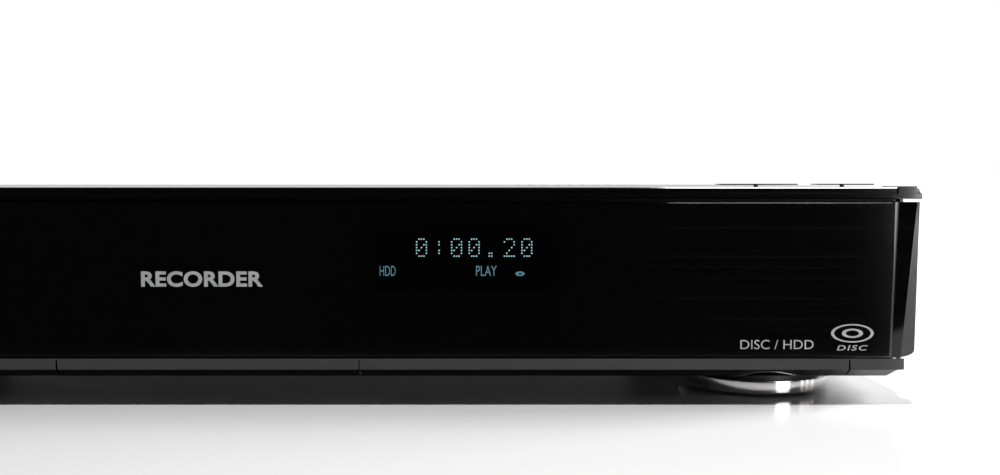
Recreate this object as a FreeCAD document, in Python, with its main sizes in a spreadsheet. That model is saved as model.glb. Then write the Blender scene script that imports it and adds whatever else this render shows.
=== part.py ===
import FreeCAD, Part
import Sketcher
import math
import os
import re

# Full-width disc and hard-disk recorder, millimetres.
# +X right, front faces -Y, +Z up, floor at z = 0, origin under the middle of the box.

doc = FreeCAD.newDocument("recorder")
sheet = doc.addObject("Spreadsheet::Sheet", "Sizes")

SIZES = {
    # outer case
    "case_width": 430, "case_depth": 239, "lid_top": 65, "key_top": 66, "base_z": 9, "steel": 1,
    "rear_y": 113.5, "cover_front": -104, "trim_back": -92, "trim_z": 61.5,
    # front flap and its hinge
    "flap_left": -61.5, "flap_low": 13.9, "flap_high": 60.6,
    "acrylic": 1.4, "end_flat": 207, "flap_back": -111.5, "axis_in": 2, "pin_r": 0.55, "pin_bore_r": 0.6,
    "bezel_front": -110, "bezel_back": -104.2, "chin_top": 13, "chin_low": 7, "chin_in": 3.3,
    "recess_half": 46,
    # feet
    "foot_x": 172.4, "foot_front": -88, "foot_rear": 84, "ring_r": 24, "pad_r": 18, "hub_r": 21,
    "ring_low": 1.2, "ring_high": 5.4,
    # disc drive
    "drive_x": -138, "drive_half": 72, "drive_front": -103, "drive_rear": 52, "drive_top": 57,
    "tray_half": 64, "tray_z": 40, "tray_front": -112.5, "tray_rear": 46, "disc_y": -40, "pinion_y": -88,
    "door_half": 66.4, "door_low": 36.6, "door_high": 50.4,
    # hard disk, boards and fan
    "hdd_half": 50.8, "hdd_front": -55, "hdd_length": 147, "hdd_z": 18, "hdd_tall": 26.1,
    "board_z": 16, "board_thick": 1.6, "fan_half": 25, "fan_z": 37, "fan_y": 102.5, "fan_deep": 10.8,
}
for row, (alias, number) in enumerate(SIZES.items(), start=1):
    sheet.set("A%d" % row, alias)
    sheet.set("B%d" % row, str(number))
    sheet.setAlias("B%d" % row, alias)
doc.recompute()


def bound(text):
    """An expression written with the size names, pointed at the spreadsheet."""
    return re.sub(r"[a-z_]+", lambda m: "Sizes." + m.group() if m.group() in SIZES else m.group(),
                  str(text))


def value(text):
    return float(sheet.evalExpression(bound(text)))


def bind(item, prop, text):
    item.setExpression(prop, bound(text))


TURN = {
    "z": FreeCAD.Rotation(),
    "y": FreeCAD.Rotation(FreeCAD.Vector(1, 0, 0), -90),
    "x": FreeCAD.Rotation(FreeCAD.Vector(0, 1, 0), 90),
}


def put(item, where, along="z"):
    """Stand a primitive at a point with its own +Z turned to an axis."""
    item.Placement = FreeCAD.Placement(FreeCAD.Vector(), TURN[along])
    for axis, text in zip("xyz", where):
        bind(item, "Placement.Base." + axis, text)
    return item


def box(x, y, z):
    """A block between a low and a high bound on each axis."""
    item = doc.addObject("Part::Box", "block")
    for prop, (low, high) in zip(("Length", "Width", "Height"), (x, y, z)):
        bind(item, prop, "(%s) - (%s)" % (high, low))
    return put(item, (x[0], y[0], z[0]))


def rod(where, radius, length, along="z"):
    item = doc.addObject("Part::Cylinder", "rod")
    bind(item, "Radius", radius)
    bind(item, "Height", length)
    return put(item, where, along)


def cone(where, radius, top, length, along="z"):
    item = doc.addObject("Part::Cone", "cone")
    bind(item, "Radius1", radius)
    bind(item, "Radius2", top)
    bind(item, "Height", length)
    return put(item, where, along)


def fuse(*items):
    if len(items) == 1:
        return items[0]
    joined = doc.addObject("Part::MultiFuse", "joined")
    joined.Shapes = list(items)
    return joined


def cut(item, *tools):
    left = doc.addObject("Part::Cut", "left")
    left.Base = item
    left.Tool = fuse(*tools)
    return left


def tube(where, radius, bore, length, along="z"):
    return cut(rod(where, radius, length, along), rod(where, bore, length, along))


def group(*items):
    """Separate solids kept as one sub-part."""
    together = doc.addObject("Part::Compound", "group")
    together.Links = list(items)
    return together


# ---------------------------------------------------------------- sketched bodies
class Form:
    """A PartDesign body built from dimensioned sketches."""

    def __init__(self, name):
        self.body = doc.addObject("PartDesign::Body", name)

    def plane(self, role):
        return next(f for f in self.body.Origin.OriginFeatures if f.Role == role)

    def sketch(self, role, level, *loops):
        """Loops of corner points, or (x, y, radius) circles, on a plane moved to a level."""
        sk = self.body.newObject("Sketcher::SketchObject", "sketch")
        sk.AttachmentSupport = [(self.plane(role), "")]
        sk.MapMode = "FlatFace"
        bind(sk, "AttachmentOffset.Base.z", level)
        for loop in loops:
            if isinstance(loop, tuple):
                x, y, radius = loop
                at = FreeCAD.Vector(value(x), value(y), 0)
                which = sk.addGeometry(Part.Circle(at, FreeCAD.Vector(0, 0, 1), value(radius)), False)
                self.fix(sk, which, 3, x, y)
                number = sk.addConstraint(Sketcher.Constraint("Radius", which, value(radius)))
                bind(sk, "Constraints[%d]" % number, radius)
                continue
            corners = [FreeCAD.Vector(value(x), value(y), 0) for x, y in loop]
            first = sk.GeometryCount
            for here, there in zip(corners, corners[1:] + corners[:1]):
                sk.addGeometry(Part.LineSegment(here, there), False)
            for i, (x, y) in enumerate(loop):
                after = first + (i + 1) % len(loop)
                sk.addConstraint(Sketcher.Constraint("Coincident", first + i, 2, after, 1))
                self.fix(sk, first + i, 1, x, y)
        return sk

    @staticmethod
    def fix(sk, which, point, x, y):
        for kind, text in (("DistanceX", x), ("DistanceY", y)):
            number = sk.addConstraint(Sketcher.Constraint(kind, -1, 1, which, point, value(text)))
            bind(sk, "Constraints[%d]" % number, text)

    def feature(self, kind, sk, length, flip=False):
        made = self.body.newObject("PartDesign::" + kind, kind.lower())
        made.Profile = sk
        bind(made, "Length", length)
        made.Reversed = flip
        doc.recompute()
        return made

    def pad(self, sk, length, flip=False):
        return self.feature("Pad", sk, length, flip)

    def pocket(self, sk, length, flip=False):
        before = self.body.Shape.Volume
        made = self.feature("Pocket", sk, length, flip)
        if self.body.Shape.Volume > before - 0.01:
            raise RuntimeError("pocket removes nothing in " + self.body.Name)
        return made

    def loft(self, *sections):
        """A ruled solid through sketches with the same number of corners."""
        made = self.body.newObject("PartDesign::AdditiveLoft", "loft")
        made.Profile = sections[0]
        made.Sections = list(sections[1:])
        made.Ruled = True
        doc.recompute()
        return made

    def revolve(self, sk):
        made = self.body.newObject("PartDesign::Revolution", "turned")
        made.Profile = sk
        made.ReferenceAxis = (sk, ["V_Axis"])
        made.Angle = 360
        doc.recompute()
        return made

    def edge_work(self, kind, size, wanted):
        """Fillet or chamfer the edges whose middle point passes a test."""
        doc.recompute()
        base = self.body.Tip
        names = []
        for number, edge in enumerate(base.Shape.Edges, start=1):
            middle = edge.valueAt((edge.FirstParameter + edge.LastParameter) / 2)
            if wanted(middle, edge):
                names.append("Edge%d" % number)
        made = self.body.newObject("PartDesign::" + kind, kind.lower())
        made.Base = (base, names)
        bind(made, "Radius" if kind == "Fillet" else "Size", size)
        doc.recompute()
        return made

    def row(self, feature, role, length, count):
        """Repeat a feature along an origin axis."""
        made = self.body.newObject("PartDesign::LinearPattern", "row")
        made.Originals = [feature]
        made.Direction = (self.plane(role), [""])
        bind(made, "Length", length)
        made.Occurrences = count
        self.body.Tip = made
        doc.recompute()
        return made

    def ring(self, feature, count):
        """Repeat a feature round the body's own Z axis."""
        made = self.body.newObject("PartDesign::PolarPattern", "ring")
        made.Originals = [feature]
        made.Axis = (self.plane("Z_Axis"), [""])
        made.Angle = 360
        made.Occurrences = count
        self.body.Tip = made
        doc.recompute()
        return made


def rect(x, y):
    return [(x[0], y[0]), (x[1], y[0]), (x[1], y[1]), (x[0], y[1])]


def near(number, text, slack=0.01):
    return abs(number - value(text)) < slack


kept = []
screws = []
leads = []


def keep(label, item):
    item = getattr(item, "body", item)
    item.Label = label
    kept.append(item)
    return item


HALF = "case_width/2"
FRONT = "-case_depth/2"
BACK = "case_depth/2"
FLOOR = "base_z + steel"
BOARD_TOP = "board_z + board_thick"
AXIS_Y = FRONT + " + axis_in"
AXIS_Z = "flap_low + axis_in"

# ---------------------------------------------------------------- case
cover = Form("cover")
outline = [("-" + HALF, "base_z + 0.5"), ("-" + HALF, "lid_top"), (HALF, "lid_top"),
           (HALF, "base_z + 0.5"), (HALF + " - steel", "base_z + 0.5"),
           (HALF + " - steel", "lid_top - steel"), ("-" + HALF + " + steel", "lid_top - steel"),
           ("-" + HALF + " + steel", "base_z + 0.5")]
cover.pad(cover.sketch("XZ_Plane", "-cover_front", outline), "rear_y + 1.5 - cover_front", True)
cover.edge_work("Fillet", 1, lambda p, e: near(abs(p.x), HALF) and near(p.z, "lid_top")
                and abs(e.tangentAt(e.FirstParameter).y) > 0.9)
step = rect(("-" + HALF + " - 1", HALF + " + 1"), ("cover_front - 1", "trim_back + 0.2"))
cover.pocket(cover.sketch("XY_Plane", "lid_top + 0.5", step), "2.5")
slot = cover.pocket(cover.sketch("XY_Plane", "lid_top + 0.5", rect((96, 98.4), (46, 78))), "2")
cover.row(slot, "X_Axis", "54", 10)
side = cover.pocket(cover.sketch("YZ_Plane", HALF + " + 1", rect((-20, -17.6), (24, 50))), "case_width + 2")
cover.row(side, "Y_Axis", "72", 13)
keep("top_cover", cover)

chassis = Form("chassis")
inner = HALF + " - steel - 0.4"
pan = [("-(%s)" % inner, 20), ("-(%s)" % inner, "base_z"), (inner, "base_z"), (inner, 20),
       (inner + " - steel", 20), (inner + " - steel", FLOOR), ("-(%s) + steel" % inner, FLOOR),
       ("-(%s) + steel" % inner, 20)]
chassis.pad(chassis.sketch("XZ_Plane", "-cover_front", pan), "rear_y - cover_front", True)
vent = chassis.pocket(chassis.sketch("XY_Plane", FLOOR, rect((-24, -20), (-90, -62))), "2")
chassis.row(vent, "X_Axis", "80", 11)
keep("base_chassis", chassis)

trim = Form("trim")
lip = [(FRONT, "trim_z + 0.3"), (FRONT, "trim_z + 1.6"), (FRONT + " + 0.9", "trim_z + 1.9"),
       (FRONT + " + 0.9", "lid_top - 0.3"), (FRONT + " + 1.3", "lid_top"), ("trim_back", "lid_top"),
       ("trim_back", "lid_top - 1.8"), ("bezel_back", "lid_top - 1.8"), ("bezel_back", "trim_z"),
       (FRONT + " + 0.3", "trim_z")]
trim.pad(trim.sketch("YZ_Plane", "-" + HALF, lip), "case_width")
KEYS = {"power": (157.6, 182.2), "open": (188.2, 206)}
for low, high in KEYS.values():
    trim.pocket(trim.sketch("XY_Plane", "lid_top + 1", (str((low + high) / 2), "-99.5", "1")), "4")
for end in ("-", ""):
    slant = [(end + "(%s - 1)" % HALF, "lid_top + 0.1"), (end + "(%s)" % HALF, "trim_z + 1.5"),
             (end + "(%s + 2)" % HALF, "trim_z + 1.5"), (end + "(%s + 2)" % HALF, "lid_top + 0.1")]
    trim.pocket(trim.sketch("XZ_Plane", BACK + " + 1", slant), "case_depth + 2")
for cap in ((-213.5, -208), (208, 213.5)):
    trim.pad(trim.sketch("XY_Plane", "lid_top - 3", rect(cap, (FRONT + " + 0.1", -105))), "3.3")
keep("front_trim", trim)

bezel = Form("bezel")
sheet_face = rect(("-210", "210"), ("chin_top + 0.3", "trim_z - 0.2"))
DOOR_GAP = ("drive_x - door_half - 0.4", "drive_x + door_half + 0.4")
windows = [rect(DOOR_GAP, ("door_low - 0.6", "door_high + 0.4")),
           rect((44, 112), (32, 54)), rect((117, 175), (20.4, 26.6)), rect((117, 175), (27.4, 33.6)),
           rect((185.5, 200), (32.6, 39.4)), rect((181, 205.4), (28.2, 31))]
bezel.pad(bezel.sketch("XZ_Plane", "-bezel_back", sheet_face, *windows), "bezel_back - bezel_front")
groove = bezel.pocket(bezel.sketch("XZ_Plane", "-bezel_front", rect((10, 40), (20, 20.8))), "0.6")
bezel.row(groove, "Z_Axis", "30", 11)
arm = [("bezel_front + 1", AXIS_Z + " - 1.2"), ("bezel_front + 1", AXIS_Z + " + 1.2"),
       (AXIS_Y, AXIS_Z + " + 1.2"), (AXIS_Y, AXIS_Z + " - 1.2")]
for shape in (arm, (AXIS_Y, AXIS_Z, 1.2)):
    bezel.pad(bezel.sketch("YZ_Plane", 196, shape), "10")
bezel.pocket(bezel.sketch("YZ_Plane", 195, (AXIS_Y, AXIS_Z, "pin_bore_r")), "12", True)
keep("front_bezel", bezel)

chin = Form("chin")


def shelf(level, front, end):
    """One level of the chin, set back from the case by one amount in front and another at each end."""
    wide = "(case_width/2 - %s)" % end
    return chin.sketch("XY_Plane", level, rect(("-" + wide, wide), (FRONT + " + " + front, "bezel_back")))


chin.loft(shelf("chin_top", "chin_in", "chin_in"),
          shelf("chin_low + 2.6", "chin_in + 0.2", "chin_in + 0.1"),
          shelf("chin_low + 2.5", "chin_in + 0.3", "5.1"), shelf("chin_low", "chin_in + 4.4", "7.2"))
chin.pocket(chin.sketch("XY_Plane", "chin_low - 1", rect(("-205", "205"), (-109, -104))), "2.8 + 1", True)
for at in ("-recess_half", "recess_half", "-195", "195"):
    seam = rect((at, at + " + 0.5"), (FRONT, FRONT + " + 7.2"))
    chin.pocket(chin.sketch("XY_Plane", "chin_top - 0.5", seam), "6")
keep("lower_chin", chin)

# Both outer ends of the front turn back softly and lean inwards towards the bottom.
END = {"flap_high": ((0, 0), (6.9, 0.8), (8, 1.8)), "flap_low": ((-0.4, 0), (2.6, 0.6), (7.8, 3.6))}
FOOT_CURVE = ((9, -1), (9, 1.7), (7.8, 1.5), (7.1, 0.7), (5.3, 0.2), (3.4, 0), (3.4, -1))
EDGE = {"flap_low": (-0.1, 0.4), "flap_high": (0.1, -0.4)}


def face_panel(form, inner, back, side):
    """A front panel from an inner edge to the outer end on one side."""
    levels = []
    for level, bend in END.items():
        line = [(inner, back), (inner, FRONT)]
        line += [("%d*(end_flat + %s)" % (side, x), FRONT + " + %s" % y) for x, y in bend]
        line.append(("%d*(end_flat + %s)" % (side, bend[-1][0]), back))
        levels.append(form.sketch("XY_Plane", level, line))
    form.loft(*levels)
    curve = [("%d*(end_flat + %s)" % (side, x), "flap_low + %s" % z) for x, z in FOOT_CURVE]
    form.pocket(form.sketch("XZ_Plane", 125, curve), "20")
    for level, (out, into) in EDGE.items():
        bevel = [(FRONT + " - 0.1", level + " + %s" % into), (FRONT + " - 0.1", level + " + %s" % out),
                 (FRONT + " + 0.4", level + " + %s" % out)]
        start = "flap_left - 1" if side > 0 else "1 - end_flat"
        form.pocket(form.sketch("YZ_Plane", start, bevel), "end_flat - %d*flap_left" % side, True)


fascia = Form("fascia")
face_panel(fascia, "flap_left - 1", "bezel_front - 0.2", -1)
door_hole = rect(DOOR_GAP, ("door_low - 0.4", "door_high + 0.4"))
fascia.pocket(fascia.sketch("XZ_Plane", "-bezel_front + 0.2", door_hole), "12", True)
fascia.pocket(fascia.sketch("YZ_Plane", "flap_left - 7", (AXIS_Y, AXIS_Z, "pin_bore_r")), "8", True)
keep("left_fascia", fascia)

# ---------------------------------------------------------------- flap
TALL = "flap_high - flap_low"
NOTCH = rect((195.5, 206.5), ("flap_low - 1", "flap_low + 4.5"))
pane = Form("pane")
face_panel(pane, "flap_left", "flap_back", 1)
WALL = FRONT + " + acrylic"
room = [("flap_left - 1", "flap_back + 1"), ("flap_left - 1", WALL), ("end_flat", WALL),
        ("end_flat + 4.4", FRONT + " + 6"), ("end_flat + 4.4", "flap_back + 1")]
pane.pocket(pane.sketch("XY_Plane", "flap_high + 1", room), TALL + " + 2")
pane.pocket(pane.sketch("XZ_Plane", "case_depth/2 - acrylic", NOTCH), "0.85", True)
keep("flap_pane", pane)

frame = Form("frame")
inside = [("flap_left", "flap_back"), ("flap_left", WALL), ("end_flat - 0.2", WALL),
          ("end_flat + 4.2", FRONT + " + 6.1"), ("end_flat + 4.2", "flap_back")]
frame.pad(frame.sketch("XY_Plane", "flap_low", inside), TALL)
frame.pocket(frame.sketch("XZ_Plane", "-flap_back - 1", rect((50, 112), (30, 56))), "12", True)
for hollow in ((-52, 40), (118, 186)):
    frame.pocket(frame.sketch("XZ_Plane", "-flap_back", rect(hollow, (22, 54))), "3.5", True)
frame.pocket(frame.sketch("XZ_Plane", "-flap_back - 1", NOTCH), "12", True)
frame.pocket(frame.sketch("YZ_Plane", "flap_left - 1", (AXIS_Y, AXIS_Z, "pin_r")), "9", True)
frame.pocket(frame.sketch("YZ_Plane", 187.5, (AXIS_Y, AXIS_Z, "pin_r")), "19.3", True)
keep("flap_frame", frame)

keep("hinge_pins", group(rod(("flap_left - 5.5", AXIS_Y, AXIS_Z), "pin_r", 12, "x"),
                         rod((188, AXIS_Y, AXIS_Z), "pin_r", 18.7, "x")))
keep("flap_bumpers", group(*[rod((x, "flap_back", 57), 2, 0.8, "y") for x in (-50, 75, 200)]))

# ---------------------------------------------------------------- feet
FEET = [(side + "foot_x", deep) for side in ("-", "") for deep in ("foot_front", "foot_rear")]


def turned(name, label, profile):
    """The same turned ring or puck under each corner."""
    solids = []
    for x, y in FEET:
        form = Form(name)
        form.revolve(form.sketch("XZ_Plane", 0, profile))
        put(form.body, (x, y, 0))
        solids.append(form.body)
    keep(label, group(*solids))


turned("pad", "foot_pads", [(3.4, 0), ("pad_r - 1", 0), ("pad_r", 0.8), ("pad_r", 2.6), (3.4, 2.6)])
turned("ring", "foot_rings", [("pad_r + 0.4", "ring_low"), ("ring_r - 0.5", "ring_low"),
                              ("ring_r", "ring_low + 0.5"), ("ring_r", "ring_high - 0.4"),
                              ("ring_r - 0.4", "ring_high"), ("pad_r + 0.4", "ring_high")])
turned("hub", "foot_hubs", [(1.8, 2.6), ("pad_r", 2.6), ("pad_r", "ring_high"), ("hub_r", "ring_high"),
                            ("hub_r", "base_z"), (1.8, "base_z")])
screws += [fuse(rod((x, y, 1.4), 2.8, 1.2), rod((x, y, 2.6), 1.6, "base_z - 2.6")) for x, y in FEET]

# ---------------------------------------------------------------- top keys
for name, (low, high) in KEYS.items():
    plate = Form(name)
    middle = str((low + high) / 2)
    plate.pad(plate.sketch("XY_Plane", "key_top - 0.35", rect((low, high), (-103, -96))), "0.35")
    plate.pad(plate.sketch("XY_Plane", 59.8, (middle, -99.5, 0.7)), "key_top - 60")
    plate.pad(plate.sketch("XY_Plane", "lid_top - 2.8", (middle, -99.5, 3)), "0.9")
    keep(name + "_key", plate)
posts = [box(x, (-103.7, -93), (55, "lid_top - 1.8")) for x in ((152, 155), (209.5, 212.5))]
key_board = fuse(box((150, 213), (-103.7, -93), (53.4, 55)), *posts)
keep("key_switches", group(*[fuse(box(((a + b) / 2 - 3, (a + b) / 2 + 3), (-102.5, -96.5), (55, 58)),
                                  rod(((a + b) / 2, -99.5, 58), 1.6, 1.1)) for a, b in KEYS.values()]))

# ---------------------------------------------------------------- disc drive
X0, X1 = "drive_x - drive_half", "drive_x + drive_half"
shell = cut(box((X0, X1), ("drive_front", "drive_rear"), (FLOOR, "drive_top")),
            box((X0 + " + 0.8", X1 + " - 0.8"), ("drive_front - 1", "drive_rear - 0.8"),
                ("base_z", "drive_top - 0.8")),
            rod(("drive_x", "disc_y", "drive_top - 2"), 13, 4))
keep("drive_cover", shell)

deck = Form("deck")
deck.pad(deck.sketch("XY_Plane", 16, rect((X0 + " + 1", X1 + " - 1"),
                                          ("drive_front + 1", "drive_rear - 1")),
                     rect(("drive_x - 34", "drive_x + 34"), (-78, 34))), "2.5")
for lip in ((X0 + " + 1", X0 + " + 6"), (X1 + " - 6", X1 + " - 1")):
    deck.pad(deck.sketch("XY_Plane", 18.5, rect(lip, ("drive_front + 1", "drive_rear - 1"))), "21.2")
for rail in ((X0 + " + 1", "drive_x - tray_half - 0.5"), ("drive_x + tray_half + 0.5", X1 + " - 1")):
    deck.pad(deck.sketch("XY_Plane", 39.7, rect(rail, ("drive_front + 1", "drive_rear - 1"))), "10")
for x in (-60, 60):
    for y in (-92, 40):
        deck.pad(deck.sketch("XY_Plane", FLOOR, ("drive_x + %d" % x, y, 4)), "16 - base_z - steel")
keep("drive_deck", deck)

tray = Form("tray")
plan = rect(("drive_x - tray_half", "drive_x + tray_half"), ("tray_front", "tray_rear"))
tray.pad(tray.sketch("XY_Plane", "tray_z", plan), "6")
tray.pocket(tray.sketch("XY_Plane", "tray_z + 6", ("drive_x", "disc_y", 61)), "3")
tray.pocket(tray.sketch("XY_Plane", "tray_z + 3", ("drive_x", "disc_y", 41)), "1.2")
tray.pocket(tray.sketch("XY_Plane", "tray_z + 6", rect(("drive_x - 20", "drive_x + 20"), ("disc_y", 22))),
            "8")
tray.pocket(tray.sketch("XY_Plane", "tray_z + 6", ("drive_x", "disc_y", 20)), "8")
RACK = "drive_x + 42.6"
first = "pinion_y - 3.5*3.1415927"
tooth = [(RACK + " + 11.3", first + " - 1.05"), (RACK + " + 9.2", first + " - 0.3"),
         (RACK + " + 9.2", first + " + 0.3"), (RACK + " + 11.3", first + " + 1.05")]
tray.pad(tray.sketch("XY_Plane", "tray_z - 3.2", rect((RACK + " + 11.1", RACK + " + 15"), (-104, 45))),
         "3.2")
teeth = tray.pad(tray.sketch("XY_Plane", "tray_z - 3.2", tooth), "3.2")
tray.row(teeth, "Y_Axis", "3.1415927*45", 46)
keep("disc_tray", tray)

door = Form("door")
door.pad(door.sketch("XZ_Plane", "-tray_front", rect(("drive_x - door_half", "drive_x + door_half"),
                                                     ("door_low", "door_high"))),
         "case_depth/2 + tray_front")
door.edge_work("Fillet", 0.6, lambda p, e: near(p.y, FRONT))
keep("tray_door", door)

PINION = (RACK, "pinion_y")
pinion = Form("pinion")
pinion.pad(pinion.sketch("XY_Plane", 34.5, ("0", "0", "8.8")), "5")
fin = [("8.5", "-0.95"), ("10.8", "-0.3"), ("10.8", "0.3"), ("8.5", "0.95")]
one = pinion.pad(pinion.sketch("XY_Plane", 34.5, fin), "5")
pinion.ring(one, 20)
pinion.pad(pinion.sketch("XY_Plane", 30, ("0", "0", "12")), "4.5")
pinion.pocket(pinion.sketch("XY_Plane", 41, ("0", "0", "1.55")), "14")
put(pinion.body, PINION + (0,))
keep("loading_pinion", pinion)
post = fuse(rod(PINION + (18.5,), 4, 11), rod(PINION + (29.5,), 1.5, 9.9))

PULLEY = (RACK, "pinion_y + 28")
keep("loading_motor", group(post, fuse(rod(PULLEY + (18.5,), 8, 9), rod(PULLEY + (27.5,), 1, 8))))
wheel = Form("wheel")
wheel.revolve(wheel.sketch("XZ_Plane", 0, [(1.05, 30), (5, 30), (4, 31.5), (4, 32.5), (5, 34), (1.05, 34)]))
put(wheel.body, PULLEY + (0,))
keep("loading_pulley", wheel)

belt = Form("belt")


def belt_line(big, small, reach=28, steps=12):
    """Outline of a belt round two wheels, as corner points with facets on the arcs."""
    lean = math.asin((big - small) / reach)
    line = []
    for radius, middle in ((small, reach), (big, 0)):
        sweep = math.pi - 2 * lean if middle else math.pi + 2 * lean
        start = lean if middle else math.pi - lean
        for i in range(steps + 1):
            angle = start + sweep * i / steps
            line.append((radius * math.cos(angle), middle + radius * math.sin(angle)))
    return line


belt.pad(belt.sketch("XY_Plane", 31.4, belt_line(12.8, 4.9), belt_line(12.15, 4.25)), "1.2")
put(belt.body, PINION + (0,))
keep("loading_belt", belt)

AXLE = ("drive_x", "disc_y")
plate = cut(box(("drive_x - 33.5", "drive_x + 33.5"), (-76, 36), (22, 23.2)),
            box(("drive_x - 18", "drive_x + 18"), (-20, 26), (21, 24)), rod(AXLE + (21,), 3, 4))
EAR_SPOTS = [(x, y) for x in (-38, 28) for y in (-76, 32)]
ears = [box(("drive_x + %d" % x, "drive_x + %d" % (x + 10)), (y, y + 4), (18.5, 22)) for x, y in EAR_SPOTS]
keep("traverse_plate", fuse(plate, *ears))
keep("spindle_motor", fuse(rod(AXLE + (23.2,), 13, 6), rod(AXLE + (29.2,), 1.2, 6)))
keep("disc_hub", cut(fuse(rod(AXLE + (32,), 14, 3), cone(AXLE + (35,), 7.4, 6.4, 3.2)),
                     rod(AXLE + (31,), 1.26, 8)))
keep("clamp_puck", fuse(rod(AXLE + (50,), 15, 4), rod(AXLE + (54,), 12, 3),
                        rod(AXLE + ("drive_top",), 15, 1.2)))
RODS = ("drive_x - 22", "drive_x + 22")
keep("guide_rods", group(*[rod((x, -19.9, 29), 1.5, 46.8, "y") for x in RODS]))
holders = [box((x + " - 3", x + " + 3"), (y, y + 4), (23.2, 32)) for x in RODS for y in (-23.9, 26.9)]
SCREW = ("drive_x + 30", -19.9, 28)
keep("feed_screw", rod(SCREW, 1.4, 50, "y"))
holders += [cut(box(("drive_x + 25.4", "drive_x + 33.4"), (31, 38), (23.2, 33)), rod(SCREW, 1.46, 60, "y")),
            box(("drive_x + 27.4", "drive_x + 33.4"), (-24, -20.1), (23.2, 31))]
keep("rod_holders", group(*holders))
sled = cut(fuse(box(("drive_x - 26", "drive_x + 26"), (-19, 1), (25.5, 33)),
                rod(("drive_x", -9, 33), 4, 2.2),
                box(("drive_x + 25", "drive_x + 33"), (-12, -6), (25.5, 30.5))),
           *[rod((x, -20, 29), 1.56, 30, "y") for x in RODS], rod(SCREW, 1.46, 60, "y"))
keep("laser_sled", sled)
keep("lens", rod(("drive_x", -9, 35.2), 2.4, 0.9))

# ---------------------------------------------------------------- hard disk
HX = ("-hdd_half", "hdd_half")
HY = ("hdd_front", "hdd_front + hdd_length")
BORE = [(s, y) for s in (-1, 1) for y in ("hdd_front + 28.5", "hdd_front + 130")]
side_holes = [rod(("%d*hdd_half - 4" % s, y, "hdd_z + 6.4"), 1.5, 8, "x") for s, y in BORE]
keep("hdd_case", cut(box(HX, HY, ("hdd_z + 3", "hdd_z + hdd_tall - 1")), *side_holes,
                     box(("-hdd_half + 8", "hdd_half - 8"), ("hdd_front + 4", "hdd_front + 70"),
                         ("hdd_z + 2", "hdd_z + 5"))))
keep("hdd_lid", fuse(box(("-hdd_half + 1.5", "hdd_half - 1.5"),
                         ("hdd_front + 1.5", "hdd_front + hdd_length - 1.5"),
                         ("hdd_z + hdd_tall - 1", "hdd_z + hdd_tall - 0.4")),
                     rod((-8, "hdd_front + 55", "hdd_z + hdd_tall - 0.4"), 30, 0.4)))
keep("hdd_board", box(("-hdd_half + 9", "hdd_half - 9"), ("hdd_front + 5", "hdd_front + 69"),
                      ("hdd_z + 3.4", "hdd_z + 5")))
bracket = cut(box(("-hdd_half - 2.6", "hdd_half + 2.6"), HY, (14, 40)),
              box(("-hdd_half - 1.4", "hdd_half + 1.4"), ("hdd_front - 1", "hdd_front + hdd_length + 1"),
                  (15.2, 41)),
              box(("-hdd_half + 12", "hdd_half - 12"), ("hdd_front + 20", "hdd_front + 120"), (13, 16)),
              *[rod(("%d*(hdd_half + 2) - 3" % s, y, "hdd_z + 6.4"), 1.8, 6, "x") for s, y in BORE])
feet = [rod(("%d*(hdd_half - 8)" % s, y, FLOOR), 4, "14 - base_z - steel") for s, y in BORE]
keep("hdd_bracket", fuse(bracket, *feet))
keep("hdd_grommets", group(*[cut(rod(("%d*(hdd_half + 0.7) - 0.7" % s, y, "hdd_z + 6.4"), 4, 1.4, "x"),
                                 rod(("%d*(hdd_half + 0.7) - 1" % s, y, "hdd_z + 6.4"), 1.8, 2, "x"))
                             for s, y in BORE]))
screws += [fuse(rod(("%d*(hdd_half + 3.4) - 0.8" % s, y, "hdd_z + 6.4"), 2.8, 1.6, "x"),
                rod(("%d*(hdd_half) - 3.4" % s, y, "hdd_z + 6.4"), 1.4, 6.8, "x")) for s, y in BORE]

# ---------------------------------------------------------------- boards
MAIN = ((58, 208), (-30, 110))
SUPPLY = ((-206, -64), (57, 110))


def corners(area, margin=5):
    (left, right), (near_y, far_y) = area
    return [(x, y) for x in (left + margin, right - margin) for y in (near_y + margin, far_y - margin)]


posts = corners(MAIN) + corners(SUPPLY)
keep("board_standoffs", group(*[tube((x, y, FLOOR), 3, 1.3, "board_z - base_z - steel") for x, y in posts]))
screws += [fuse(rod((x, y, BOARD_TOP), 2.8, 1.6), rod((x, y, "board_z - 4"), 1.2, "board_thick + 4"))
           for x, y in posts]
for label, area in (("main_board", MAIN), ("power_board", SUPPLY)):
    keep(label, cut(box(area[0], area[1], ("board_z", BOARD_TOP)),
                    *[rod((x, y, "board_z - 1"), 1.5, 4) for x, y in corners(area)]))


def on_board(x, y, tall, low=BOARD_TOP):
    return box(x, y, (low, "%s + %s" % (low, tall)))


keep("main_chips", group(on_board((118, 150), (20, 52), 2.2), on_board((160, 172), (18, 30), 1.2),
                         on_board((160, 172), (36, 48), 1.2), on_board((96, 108), (-14, 4), 1.4),
                         on_board((184, 196), (10, 24), 1.6), on_board((104, 110), (60, 66), 1)))
sink = Form("sink")
sink.pad(sink.sketch("XY_Plane", BOARD_TOP + " + 2.2", rect((116, 152), (18, 54))), "3")
blade = sink.pad(sink.sketch("XY_Plane", BOARD_TOP + " + 5.2", rect((116, 117.2), (18, 54))), "14")
sink.row(blade, "X_Axis", "34.8", 10)


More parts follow.
